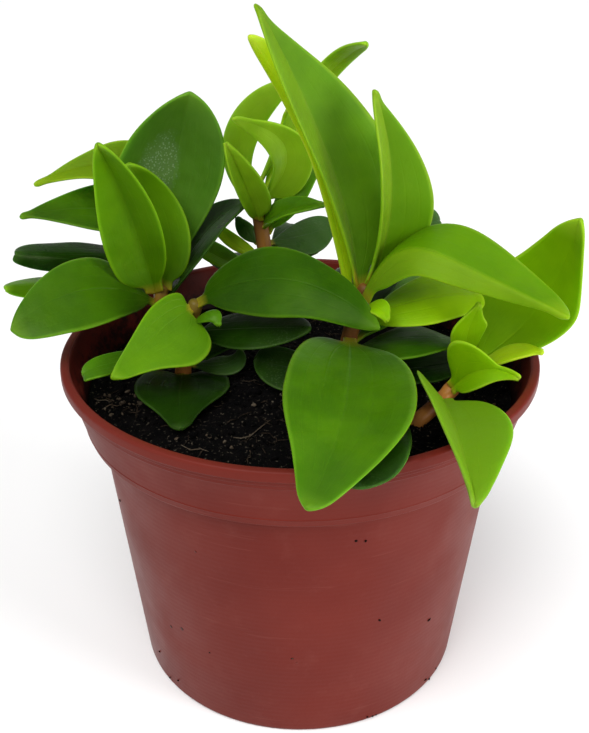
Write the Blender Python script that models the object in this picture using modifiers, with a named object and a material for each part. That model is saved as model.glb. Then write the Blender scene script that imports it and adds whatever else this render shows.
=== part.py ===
"""A cypress peperomia in its small nursery pot: the pot, the peat, six stems and their leaves.

Metres, +Z up. The origin is the middle of the pot's underside and -Y is the front.
Sizes and places in this file are in millimetres, and mm() turns them into metres.
"""
from collections import namedtuple
from math import cos, pi, sin, sqrt

import bmesh
import bpy
from mathutils import Vector

# Pot
RIM_RADIUS = 45.0
RIM_TOP = 67.0
LIP_HEIGHT = 2.2
LIP_OVERHANG = 1.0
LIP_FACE = 1.7
LIP_FALL = 0.1
LIP_ROUND = 0.5
BAND_HEIGHT = 13.0
BAND_FOOT_RADIUS = 41.0
BAND_FOOT_ROUND = 0.4
BODY_TOP_RADIUS = 38.5
BASE_RADIUS = 32.6
BASE_ROUND = 0.9
WALL = 1.1
FLOOR = 1.4
TURNED_STEPS = 56
DRAIN_HOLES = 8
DRAIN_RADIUS = 2.6
DRAIN_CIRCLE = 24.0
DRAIN_SIDES = 12
DRILL_LENGTH = 6.0

# Peat
SOIL_CENTRE_TOP = 60.6
SOIL_EDGE_TOP = 58.6
FIT = 0.4
ROOT_DEPTH = 7.0

# Stems and leaves
STEM_FOOT_RADIUS = 1.6
STEM_TIP_RADIUS = 1.35
STEM_POINTS = 9
LEAF_THICKNESS = 1.0
STALK_SHARE = 0.06
STALK_GAP = 0.55
STALK_HALF_WIDTH = 0.75
TIP_HALF_WIDTH = 0.3
GUTTER_POWER = 1.4
LEAF_LENGTH_CELLS = 8
LEAF_WIDTH_CELLS = 4

# Colours, linear
POT_RED = (0.27, 0.055, 0.035)
PEAT = (0.012, 0.009, 0.007)
STEM_RED = (0.23, 0.07, 0.025)
DARK = (0.025, 0.085, 0.006)
GREEN = (0.06, 0.19, 0.006)
BRIGHT = (0.12, 0.29, 0.007)
LIME = (0.26, 0.42, 0.01)

# A leaf's half width grows as distance ** rise from the stalk and falls as distance ** fall from the tip
Outline = namedtuple("Outline", "rise fall")
HEART = Outline(0.35, 0.8)
BROAD = Outline(0.55, 0.75)
OVAL = Outline(0.6, 0.6)
BLUNT = Outline(0.6, 0.5)
LATE = Outline(0.9, 0.62)
TAPER = Outline(0.5, 1.15)
LANCE = Outline(0.7, 1.0)
FULL = Outline(0.4, 0.6)
FOLDED = Outline(0.45, 0.9)
POINTED = Outline(0.75, 0.95)

# Each stem: the axis at the soil, part of the way up and at the top
STEMS = {
    "back_left": ((-28, 21.5, 60), (-28, 23.5, 78), (-27, 24, 94)),
    "left": ((-28, 11, 60), (-28, 11, 68), (-27.3, 12, 73.5)),
    "front_left": ((-22.5, -2, 60), (-21.5, -1, 68), (-19.5, 0, 75.5)),
    "back": ((-6.5, 19, 60), (-6.8, 19, 75), (-9, 21, 90)),
    "middle": ((8.5, -5, 60), (9, -5, 70), (12, -3, 80)),
    "right": ((21, -17, 60), (26, -13, 62.5), (32, -8, 67)),
}

# Each leaf: its stem, the height where it leaves it, outline, colour, then four places on the
# leaf: the middle of the midrib, the tip, and the left and right margins where it is widest
Leaf = namedtuple("Leaf", "stem height outline colour middle tip left right")
LEAVES = {
    "left_wide": Leaf(
        "left", 70.5, OVAL, GREEN, (-40, 0, 78), (-52, -10, 74.5), (-38.5, -8, 75.5), (-42.5, 7, 82)),
    "left_tall": Leaf(
        "left", 72.3, FULL, BRIGHT, (-32, 9, 90), (-35.8, 2, 105.4), (-36.7, 4, 91.9), (-26.2, 5, 90.6)),
    "left_tall_pair": Leaf(
        "left", 73.5, FULL, BRIGHT, (-28, 15, 87), (-32.5, 13, 98.5), (-32, 13, 88), (-21.3, 13, 85)),
    "left_back_broad": Leaf(
        "left", 71.6, LATE, GREEN, (-25.5, 20, 91), (-20.5, 17, 111), (-32.7, 15.5, 97), (-14.5, 17, 95.5)),
    "left_narrow": Leaf(
        "left", 70.4, BROAD, DARK, (-19.5, 17, 81.5), (-11, 20, 88.5), (-23, 24, 83), (-17, 10, 83.5)),
    "far_left_top": Leaf(
        "back_left", 92, TAPER, LIME, (-38.5, 24, 95), (-52.5, 20, 92), (-36, 18, 93.5), (-35.5, 27, 98.5)),
    "far_left_upper": Leaf(
        "back_left", 84, TAPER, GREEN, (-41, 20, 87), (-54.5, 14, 87.5), (-37.5, 15, 84), (-38, 26, 90.5)),
    "far_left_lower": Leaf(
        "back_left", 76, BLUNT, DARK, (-42.5, 14, 79.5), (-54, 6, 83), (-47, 10, 78), (-47, 18, 80.5)),
    "far_left_low": Leaf(
        "back_left", 70, BROAD, BRIGHT, (-46, 10, 75), (-55.5, 2, 77.5), (-46, 7, 73), (-49.5, 14, 75)),
    "front_lime": Leaf(
        "front_left", 74.5, HEART, BRIGHT, (-27, -9, 72.5), (-33, -18, 69), (-17.5, -12, 69.5), (-26, -3, 77.5)),
    "centre_long": Leaf(
        "front_left", 75.5, BROAD, GREEN, (-2, -6, 82.5), (14, -14.5, 77), (-7, 4.5, 85), (-4.5, -11, 77.5)),
    "centre_low": Leaf(
        "front_left", 70, BROAD, DARK, (-8.5, -3, 71.5), (2, -8, 74), (-7.5, 4, 72.5), (-9, -8, 69.5)),
    "centre_bud": Leaf(
        "front_left", 71.5, BROAD, GREEN, (-15.5, -6, 76), (-14, -8, 75), (-15, -5, 76.5), (-16, -7, 75.5)),
    "low_small": Leaf(
        "front_left", 66, BROAD, GREEN, (-34.5, -13, 69), (-38, -16, 68.5), (-34, -16, 68.5), (-34.5, -10, 70)),
    "low_heart": Leaf(
        "front_left", 61.8, HEART, DARK, (-22, -13, 62), (-20.5, -21, 61), (-13, -8, 61.5), (-30.5, -12, 63)),
    "low_round": Leaf(
        "front_left", 66.5, BROAD, DARK, (-18, 2, 66), (-11.5, 2, 66.5), (-18, 6, 68), (-17.5, -3, 65)),
    "low_narrow": Leaf(
        "front_left", 63.5, LANCE, DARK, (-14, -1, 63), (-11.5, 1, 65.5), (-15.5, 1.5, 63.5), (-12, -3.5, 62.5)),
    "low_dark": Leaf(
        "middle", 64, BROAD, DARK, (-2.5, -4, 64), (-8.5, -2.5, 65), (-2.5, -10, 62), (-4, 1, 66)),
    "back_arch": Leaf(
        "back", 88, BLUNT, BRIGHT, (-11.5, 24, 101), (-2, 16, 113.5), (-15.5, 26, 100), (-7.5, 22, 102)),
    "back_curl": Leaf(
        "back", 88.5, BROAD, BRIGHT, (-3, 17, 100.5), (-12.5, 11, 107.5), (-5.5, 14, 99), (3, 18, 100)),
    "back_folded": Leaf(
        "back", 85, HEART, GREEN, (-11, 15.5, 94.5), (-14, 13, 102.5), (-12.5, 13.5, 93.5), (-6, 15, 92.5)),
    "back_right": Leaf(
        "back", 83.5, HEART, GREEN, (-2, 13, 90), (4.5, 8, 92), (-4, 17, 91.5), (-4, 9, 87.5)),
    "back_dark": Leaf(
        "back", 82, BROAD, GREEN, (-1, 23, 91), (4.5, 25, 96), (-2.5, 25, 92.5), (1, 21, 88.5)),
    "back_lime": Leaf(
        "back", 89, BROAD, LIME, (-2, 27, 99), (-2.5, 27, 105.5), (-4.5, 28, 100.5), (0.5, 27, 99)),
    "back_pale": Leaf(
        "back", 77, BLUNT, LIME, (-12.5, 22, 78.5), (-17, 23, 82.5), (-16, 22, 79.5), (-12, 23, 80)),
    "back_olive": Leaf(
        "back", 73, BROAD, GREEN, (-17, 23, 75.5), (-22.5, 24, 79), (-18, 21, 75), (-17.5, 26, 78)),
    "rear_near": Leaf(
        "back", 76.5, BROAD, DARK, (-3.5, 27, 79), (-1.5, 33, 79), (-4.5, 33, 80), (-2.5, 24, 77)),
    "rear_right": Leaf(
        "back", 80, BROAD, DARK, (1, 27, 79), (7, 33, 79), (2, 33, 81), (3, 24, 76)),
    "rear_left": Leaf(
        "back", 80, BROAD, DARK, (-11, 22, 82), (-12.8, 24, 84), (-12.5, 22, 81), (-9.5, 22, 83)),
    "rear_thin": Leaf(
        "back", 90, LANCE, BRIGHT, (3.2, 26, 108), (12, 16, 120), (2.7, 24, 112), (5.5, 26, 108)),
    "hind_low": Leaf(
        "back", 68.5, BROAD, DARK, (-13, 29, 72), (-19, 37, 70), (-18, 27, 72), (-8, 33, 72)),
    "hind_hanging": Leaf(
        "back", 74, BROAD, GREEN, (-3, 31, 75), (-1, 40, 69), (-9, 33, 74), (4, 31, 74)),
    "hind_middle": Leaf(
        "middle", 72.5, BROAD, DARK, (13, 11, 76), (14, 24, 73), (6, 13, 76), (20, 13, 76)),
    "hind_right": Leaf(
        "middle", 69.5, OVAL, GREEN, (24, 14, 71.5), (31, 27, 69), (20, 20, 73), (30, 12, 73)),
    "hind_side": Leaf(
        "right", 64.6, LATE, GREEN, (38, 3, 69.3), (37, 19, 70), (33, 9, 70.3), (43, 6, 70.8)),
    "hind_left": Leaf(
        "back_left", 70, BROAD, GREEN, (-29, 33, 74), (-26, 41, 70), (-34, 34, 73), (-23, 33, 74)),
    "tall": Leaf(
        "middle", 79, LANCE, BRIGHT, (6.3, -2, 102.5), (-7, -12, 131), (0.5, -9, 110), (15.5, 2, 105.5)),
    "tall_pair": Leaf(
        "middle", 76, BROAD, LIME, (2, 4, 103.5), (-8.5, -2, 124.5), (-1.5, 2, 108.5), (6, 6, 106.5)),
    "right_tall": Leaf(
        "middle", 80, POINTED, BRIGHT, (15.5, -4, 97.5), (12, -8, 117), (13.5, -9, 103), (22.5, -3, 99.5)),
    "right_arch": Leaf(
        "middle", 77.7, LANCE, BRIGHT, (29, -13, 89), (43.5, -26, 84.5), (27.5, -4, 92), (24.6, -15, 84.8)),
    "right_lime": Leaf(
        "middle", 74.5, BROAD, LIME, (23.5, -6, 79), (35, -2, 78.5), (24.5, 3, 79.5), (24, -11, 76.5)),
    "right_bud": Leaf(
        "middle", 75, BROAD, LIME, (14, -10.2, 76.8), (16, -12.2, 76.3), (15.5, -8.4, 76.8), (12, -11.2, 76.5)),
    "right_rear": Leaf(
        "middle", 77.5, BROAD, DARK, (21, 8, 85), (27, 14, 86.5), (21.5, 14, 88.5), (23.5, 6, 85)),
    "right_broad": Leaf(
        "right", 67, BROAD, LIME, (44.5, -2, 75.5), (48, -9, 95.5), (36.5, 3, 79.5), (50, -9, 77)),
    "right_small_up": Leaf(
        "right", 66.7, LANCE, LIME, (29.5, -10.5, 74), (31.7, -12.5, 83.5), (26, -12.5, 76), (33.5, -10.5, 76)),
    "right_small_low": Leaf(
        "right", 63.5, HEART, LIME, (33, -15, 69.5), (38.7, -17, 68.6), (28.3, -15, 73.6), (31, -18, 67)),
    "right_yellow": Leaf(
        "right", 65.4, LANCE, LIME, (37.5, -14, 71.8), (42.5, -15.5, 73.3), (37.5, -11, 72.3), (37, -15.5, 71.3)),
    "right_dark": Leaf(
        "middle", 68.5, BROAD, GREEN, (20.5, -6, 71), (30.5, -3, 68.5), (22, 2, 70), (19, -12, 70)),
    "right_dark_low": Leaf(
        "middle", 63.5, BROAD, DARK, (24.5, -3, 63.5), (32, 1, 63.5), (25, 2, 64.5), (24, -8, 63)),
    "heart": Leaf(
        "middle", 71, HEART, GREEN, (6.5, -37, 71), (1, -56, 68), (19, -33, 73), (-2.7, -29, 74.5)),
    "heart_under": Leaf(
        "middle", 67, BROAD, DARK, (12, -35.5, 69), (7.5, -50, 68), (18, -37, 68.5), (7.5, -36, 68.3)),
    "front_right": Leaf(
        "right", 61.5, FOLDED, BRIGHT, (25.5, -37.2, 68), (26.5, -52, 65.5), (19.6, -22.6, 71.8), (34, -35.2, 70.5)),
}


def mm(*values):
    """A vector in metres from millimetres."""
    return Vector(values) * 0.001


def clear_scene():
    for thing in list(bpy.data.objects):
        bpy.data.objects.remove(thing, do_unlink=True)


def new_collection(name):
    collection = bpy.data.collections.new(name)
    bpy.context.scene.collection.children.link(collection)
    return collection


def new_object(name, data, collection):
    thing = bpy.data.objects.new(name, data)
    collection.objects.link(thing)
    return thing


def paint(thing, colour, roughness, coat=0.0):
    """Gives the object a material of its own."""
    material = bpy.data.materials.new(thing.name)
    material.use_nodes = True
    shader = material.node_tree.nodes["Principled BSDF"]
    shader.inputs["Base Color"].default_value = (*colour, 1.0)
    shader.inputs["Roughness"].default_value = roughness
    shader.inputs["Metallic"].default_value = 0.0
    shader.inputs["Coat Weight"].default_value = coat
    thing.data.materials.append(material)


def turned(name, profile, collection):
    """A turned solid: its profile runs from the axis over the inside and down the outside."""
    mesh = bpy.data.meshes.new(name)
    points = [mm(radius, 0, height) for radius, height in profile]
    mesh.from_pydata(points, [(i, i + 1) for i in range(len(points) - 1)], [])
    thing = new_object(name, mesh, collection)
    screw = thing.modifiers.new("Turn", "SCREW")
    screw.steps = TURNED_STEPS
    screw.render_steps = TURNED_STEPS
    screw.use_merge_vertices = True
    screw.merge_threshold = 0.00001
    return thing


def settle(thing):
    """Turns an object with modifiers into a plain mesh object of the same name."""
    bpy.context.view_layer.update()
    shape = thing.evaluated_get(bpy.context.evaluated_depsgraph_get())
    mesh = bpy.data.meshes.new_from_object(shape)
    name = thing.name
    collection = thing.users_collection[0]
    place = thing.matrix_world.copy()
    bpy.data.objects.remove(thing, do_unlink=True)
    solid = new_object(name, mesh, collection)
    solid.matrix_world = place
    return solid


def pot_outside():
    """Radius and height down the outside of the pot, from the lip to the base."""
    band_top = RIM_TOP - LIP_HEIGHT
    band_foot = RIM_TOP - BAND_HEIGHT
    return [
        (RIM_RADIUS - LIP_FACE, RIM_TOP - LIP_FALL),
        (RIM_RADIUS - LIP_ROUND, RIM_TOP),
        (RIM_RADIUS, RIM_TOP - LIP_ROUND),
        (RIM_RADIUS, band_top + LIP_ROUND),
        (RIM_RADIUS - LIP_OVERHANG, band_top),
        (BAND_FOOT_RADIUS, band_foot + BAND_FOOT_ROUND),
        (BAND_FOOT_RADIUS - BAND_FOOT_ROUND, band_foot),
        (BODY_TOP_RADIUS, band_foot - BAND_FOOT_ROUND),
        (BASE_RADIUS, BASE_ROUND),
        (BASE_RADIUS - BASE_ROUND, 0.0),
        (0.0, 0.0),
    ]


def wall_inside():
    """Radius and height up the inside of the pot: the floor's edge, the step's foot and top, the mouth."""
    band_foot = RIM_TOP - BAND_HEIGHT
    return [
        (BASE_RADIUS - WALL - BAND_FOOT_ROUND, FLOOR),
        (BODY_TOP_RADIUS - WALL, band_foot - WALL),
        (BAND_FOOT_RADIUS - WALL, band_foot + WALL),
        (RIM_RADIUS - LIP_FACE - LIP_FALL, RIM_TOP - LIP_ROUND),
    ]


def make_pot(collection, cutters):
    pot = turned("pot", [(0.0, FLOOR)] + wall_inside() + pot_outside(), collection)
    for i in range(DRAIN_HOLES):
        angle = 2 * pi * (i + 0.5) / DRAIN_HOLES
        mesh = bpy.data.meshes.new("drain")
        shape = bmesh.new()
        bmesh.ops.create_cone(shape, cap_ends=True, segments=DRAIN_SIDES, radius1=DRAIN_RADIUS * 0.001,
                              radius2=DRAIN_RADIUS * 0.001, depth=DRILL_LENGTH * 0.001)
        shape.to_mesh(mesh)
        shape.free()
        drill = new_object(f"drain_cutter_{i}", mesh, cutters)
        drill.location = mm(DRAIN_CIRCLE * cos(angle), DRAIN_CIRCLE * sin(angle), 0)
        cut(pot, drill)
    paint(pot, POT_RED, 0.42)


def cut(thing, cutter):
    cutter.hide_render = True
    cutter.display_type = "WIRE"
    tool = thing.modifiers.new("Cut", "BOOLEAN")
    tool.operation = "DIFFERENCE"
    tool.solver = "EXACT"
    tool.object = cutter


def soil_profile():
    """The peat: a low dome on top, and the inside of the pot less the fit all round."""
    wall = wall_inside()
    slope = (wall[3][0] - wall[2][0]) / (wall[3][1] - wall[2][1])
    edge = wall[2][0] + slope * (SOIL_EDGE_TOP - wall[2][1]) - FIT
    drop = SOIL_CENTRE_TOP - SOIL_EDGE_TOP
    dome = [(edge * share, SOIL_CENTRE_TOP - drop * share ** 3) for share in (0.3, 0.6, 0.85, 1.0)]
    side = [(radius - FIT, height) for radius, height in reversed(wall[1:3])]
    foot = [(wall[0][0] - FIT, FLOOR + FIT), (0.0, FLOOR + FIT)]
    return [(0.0, SOIL_CENTRE_TOP)] + dome + side + foot


def bend(places, share):
    """The place at a share of the way along a bend through three places."""
    start, middle, end = (Vector(place) for place in places)
    handle = 2 * middle - (start + end) / 2
    return start * (1 - share) ** 2 + handle * 2 * share * (1 - share) + end * share ** 2


def bend_direction(places, share):
    start, middle, end = (Vector(place) for place in places)
    handle = 2 * middle - (start + end) / 2
    return ((handle - start) * (1 - share) + (end - handle) * share).normalized()


def share_at_height(places, height):
    """How far along a stem its axis reaches a height, found by halving."""
    low, high = 0.0, 1.0
    for _ in range(30):
        half = (low + high) / 2
        if bend(places, half).z < height:
            low = half
        else:
            high = half
    return low


def stem_tube(name, places, growth, collection):
    """A tapering round tube along the stem's axis, rooted below the soil."""
    curve = bpy.data.curves.new(name, "CURVE")
    curve.dimensions = "3D"
    curve.bevel_depth = (STEM_FOOT_RADIUS + growth) * 0.001
    curve.bevel_resolution = 2
    curve.use_fill_caps = True
    spline = curve.splines.new("POLY")
    spline.points.add(STEM_POINTS)
    foot = Vector(places[0]) - Vector((0, 0, ROOT_DEPTH + growth))
    spline.points[0].co = (*(foot * 0.001), 1.0)
    for i in range(STEM_POINTS):
        share = i / (STEM_POINTS - 1)
        radius = STEM_FOOT_RADIUS + (STEM_TIP_RADIUS - STEM_FOOT_RADIUS) * share
        spline.points[i + 1].co = (*(bend(places, share) * 0.001), 1.0)
        spline.points[i + 1].radius = (radius + growth) / (STEM_FOOT_RADIUS + growth)
    tube = settle(new_object(name, curve, collection))
    weld(tube.data)
    return tube


def weld(mesh):
    shape = bmesh.new()
    shape.from_mesh(mesh)
    bmesh.ops.remove_doubles(shape, verts=shape.verts, dist=0.000005)
    shape.to_mesh(mesh)
    shape.free()


def make_soil_and_stems(parts, cutters):
    soil = turned("soil", soil_profile(), parts)
    paint(soil, PEAT, 0.95)
    for name, places in STEMS.items():
        socket = stem_tube(f"socket_{name}", places, FIT, cutters)
        cut(soil, socket)
        stem = stem_tube(f"stem_{name}", places, 0.0, parts)
        stem.data.shade_smooth()
        paint(stem, STEM_RED, 0.35)


def leaf_base(leaf):
    """Where a leaf's stalk starts: just clear of the stem's side, or of its end for a leaf at the top."""
    places = STEMS[leaf.stem]
    share = share_at_height(places, leaf.height)
    root = bend(places, share)
    along = bend_direction(places, share)
    handle = 2 * Vector(leaf.middle) - (root + Vector(leaf.tip)) / 2
    aim = (handle - root).normalized()
    rising = aim.dot(along)
    if leaf.height >= places[2][2]:
        return root + aim * ((STALK_GAP + STALK_HALF_WIDTH * sqrt(1 - rising ** 2)) / rising)
    side = (aim - along * rising).normalized()
    radius = STEM_FOOT_RADIUS + (STEM_TIP_RADIUS - STEM_FOOT_RADIUS) * share
    return root + side * (radius + STALK_GAP + LEAF_THICKNESS / 2 * abs(rising))


def half_width(outline, share):
    """The half width at a share of the leaf's length, as a part of the greatest half width."""
    blade = (share - STALK_SHARE) / (1 - STALK_SHARE)
    if not 0 < blade < 1:
        return 0.0
    peak = outline.rise / (outline.rise + outline.fall)
    most = peak ** outline.rise * (1 - peak) ** outline.fall
    return blade ** outline.rise * (1 - blade) ** outline.fall / most


def leaf_surface(leaf):
    """A function that gives the leaf's place for a share of its length and a side from -1 to 1."""
    spine = (leaf_base(leaf), leaf.middle, leaf.tip)
    rise, fall = leaf.outline
    widest = STALK_SHARE + (1 - STALK_SHARE) * rise / (rise + fall)
    heading = bend_direction(spine, widest)
    left = Vector(leaf.left) - bend(spine, widest)
    right = Vector(leaf.right) - bend(spine, widest)

    def place(share, side):
        turn = heading.rotation_difference(bend_direction(spine, share))
        least = STALK_HALF_WIDTH if share < 0.5 else TIP_HALF_WIDTH
        width = half_width(leaf.outline, share)
        to_left = turn @ left * max(width, least / left.length)
        to_right = turn @ right * max(width, least / right.length)
        across = (to_right - to_left) / 2 * side
        gutter = (to_right + to_left) / 2 * abs(side) ** GUTTER_POWER
        return bend(spine, share) + across + gutter

    return place


def make_leaf(name, leaf, collection):
    """A leaf blade bent over its surface and thickened by Solidify."""
    place = leaf_surface(leaf)
    shape = bmesh.new()
    bmesh.ops.create_grid(shape, x_segments=LEAF_LENGTH_CELLS, y_segments=LEAF_WIDTH_CELLS, size=1.0)
    for vertex in shape.verts:
        vertex.co = place((vertex.co.x + 1) / 2, vertex.co.y) * 0.001
    mesh = bpy.data.meshes.new(name)
    shape.to_mesh(mesh)
    shape.free()
    mesh.shade_smooth()
    blade = new_object(name, mesh, collection)
    body = blade.modifiers.new("Thickness", "SOLIDIFY")
    body.thickness = LEAF_THICKNESS * 0.001
    body.offset = 0.0
    paint(blade, leaf.colour, 0.3, 0.3)


def main():
    clear_scene()
    parts = new_collection("potted_peperomia")
    cutters = new_collection("cutters")
    make_pot(parts, cutters)
    make_soil_and_stems(parts, cutters)
    for name, leaf in LEAVES.items():
        make_leaf(f"leaf_{name}", leaf, parts)


main()
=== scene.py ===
"""The looks of a cypress peperomia in its small nursery pot, built around its CAD frame.

Metres, +Z up. Sizes and places on the plant and the pot are written in millimetres, and each piece is turned
into metres as it is made. The camera, the lights and the floor are in metres.
"""
from collections import namedtuple
from math import cos, hypot, pi, radians, sin, sqrt
from random import Random

import bmesh
import bpy
from mathutils import Matrix, Vector, noise


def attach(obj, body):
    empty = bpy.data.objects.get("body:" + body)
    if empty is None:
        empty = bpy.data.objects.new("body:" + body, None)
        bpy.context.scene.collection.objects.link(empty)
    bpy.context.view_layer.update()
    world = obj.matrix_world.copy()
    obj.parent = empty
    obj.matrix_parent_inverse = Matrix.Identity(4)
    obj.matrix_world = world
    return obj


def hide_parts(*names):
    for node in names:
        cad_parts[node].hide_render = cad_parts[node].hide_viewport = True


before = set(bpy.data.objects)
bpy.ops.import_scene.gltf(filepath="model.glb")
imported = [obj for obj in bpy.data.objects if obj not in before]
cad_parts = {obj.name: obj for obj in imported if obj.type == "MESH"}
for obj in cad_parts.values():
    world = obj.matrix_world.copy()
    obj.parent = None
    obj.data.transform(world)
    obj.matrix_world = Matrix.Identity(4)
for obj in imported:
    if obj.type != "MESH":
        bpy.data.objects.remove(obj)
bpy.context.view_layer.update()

# Pot
RIM_RADIUS = 45.0
RIM_TOP = 67.0
LIP_HEIGHT = 2.2
LIP_OVERHANG = 1.0
LIP_FACE = 1.7
BAND_HEIGHT = 13.0
BAND_FOOT_RADIUS = 41.0
BODY_TOP_RADIUS = 38.5
BASE_RADIUS = 32.6
BASE_ROUND = 0.9
WALL = 1.1
FLOOR = 1.4
POT_STEPS = 144
DRAIN_HOLES = 8
DRAIN_RADIUS = 2.6
DRAIN_CIRCLE = 24.0
DRILL_DEPTH = 6.0

# Peat
SOIL_CENTRE_TOP = 60.6
SOIL_EDGE_TOP = 58.6
FIT = 0.4
PEAT_RINGS = 70
PEAT_STEPS = 220
CRUMB_SEED = 5
# Loose bits: how many, least and greatest size, finish, and the spot that they lie round and how far from
# it, or else they lie all over the peat
Bits = namedtuple("Bits", "count least most earth middle spread", defaults=((0.0, 0.0), None))
LOOSE_BITS = {
    "peat_crumbs": Bits(900, 0.25, 1.1, "peat_crumb"),
    "pale_bits": Bits(60, 0.2, 0.55, "pale_bit"),
    "left_bits": Bits(34, 0.2, 0.65, "pale_bit", (-34.0, -9.0), 4.6),
    "bark_bits": Bits(16, 0.4, 1.1, "bark_bit", (33.5, -12.0), 4.0),
}
# Root hairs: how many, greatest length, radius, seed and finish
Fibres = namedtuple("Fibres", "count length radius seed earth")
PEAT_FIBRES = Fibres(130, 6.0, 0.14, 11, "fibre")
PALE_FIBRES = Fibres(8, 4.0, 0.1, 12, "pale_bit")
FIBRE_STEPS = 5
FIBRE_SIDES = 5
LAID_FIBRE_LIFT = 0.45
LAID_FIBRES = (
    ((-11.6, -22.6), (-10.2, -22.9), (-8.7, -21.9), (-6.7, -19.5), (-5.1, -17.4)),
    ((-38.8, -7.0), (-37.6, -8.3), (-36.4, -8.2), (-35.0, -9.3)),
    ((-36.5, -11.5), (-35.2, -10.4), (-33.8, -10.8), (-32.8, -9.8)),
    ((-20.5, -25.0), (-18.8, -26.4), (-17.0, -26.0), (-15.6, -27.0)),
)
# Crumbs stuck to the pot: angle round it in degrees, and height
STUCK_CRUMBS = (
    (-61, 64.6), (-75.4, 48.1), (-72.7, 47.7), (-45, 20.7), (-92, 20.3), (-119, 17.4), (-66, 27.5),
    (-64, 0.7), (-66, 1.0), (-62.5, 0.6), (-31, 1.3), (-39, 1.8), (-36, 0.7), (-148, 6.2),
    (-137, 3.1), (-143, 1.2), (-156, 41.3), (60, 0.8), (96, 12.0), (150, 2.5), (20, 33.0),
)
STUCK_LEAST = 0.3
STUCK_MOST = 0.5

# Stems and leaves
STEM_FOOT_RADIUS = 1.6
STEM_TIP_RADIUS = 1.35
STEM_ROOT = 4.0
STEM_STEPS = 24
STEM_SIDES = 14
JOINT_REACH = 0.09
GREEN_STEMS = ("left", "front_left", "back_left")
GREENEST = 0.95
BROWNEST = 0.35
STALK_SEAT = 0.8
LEAF_THICKNESS = 1.0
MARGIN_THICKNESS = 0.42
STALK_SHARE = 0.06
TIP_ROUND = 0.8
LENGTH_CELLS = 26
WIDTH_CELLS = 10

# Camera
CAMERA_PLACE = (0.0, -0.18185, 0.15609)
CAMERA_TURN = (radians(62.7), 0.0, radians(0.32))
CAMERA_LENS = 52.06
CAMERA_NEAR = 0.01

# Light and floor
DAYLIGHT = 2.7
DAYLIGHT_SPREAD = radians(50)
DAYLIGHT_HEADING = (0.3, 0.6, -0.95)
ROOM_LIGHT = 0.42
SOFTBOX_POWER = 2.7
SOFTBOX_PLACE = (0.5, -0.3, 0.25)
SOFTBOX_AIM = (0, 0, 0.07)
SOFTBOX_SIZE = 0.3
FLOOR_RADIUS = 3.0
FLOOR_WHITE = (0.9, 0.9, 0.9)

# Leaf gloss: how strongly the skin reflects, and the reflection's tint
LEAF_SHINE = 0.17
LEAF_SHEEN = (0.85, 1.0, 0.5)

# Colours, linear
POT_RED = (0.117, 0.0128, 0.0078)
POT_WARM = (0.137, 0.0172, 0.0108)
POT_DUSTY = (0.30, 0.11, 0.085)
FLECK = (0.02, 0.012, 0.009)
PEAT_BLACK = (0.0008, 0.0007, 0.0009)
PEAT_BROWN = (0.0042, 0.003, 0.003)
PEAT_TAN = (0.10, 0.07, 0.045)
PEAT_PALE = (0.19, 0.16, 0.115)
BARK_DARK = (0.03, 0.006, 0.004)
BARK_RED = (0.12, 0.02, 0.012)
STEM_RED = (0.09, 0.02, 0.008)
STEM_TAN = (0.33, 0.13, 0.025)
STEM_OLIVE = (0.11, 0.08, 0.008)
STALK = (0.26, 0.20, 0.012)
# Pale dots on the leaves: partly frosty texture, partly painted sheen
FROST_AND_SHEEN = (0.30, 0.42, 0.22)

# Each peaty finish: its dark and light colours, and how strong its pale grit is
EARTHS = {
    "peat_earth": (PEAT_BLACK, PEAT_BROWN, 0.5),
    "peat_crumb": (PEAT_BLACK, PEAT_BROWN, 0.6),
    "pale_bit": (PEAT_TAN, PEAT_PALE, 0.7),
    "bark_bit": (BARK_DARK, BARK_RED, 0.2),
    "fibre": (PEAT_BROWN, PEAT_TAN, 0.3),
}
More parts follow.
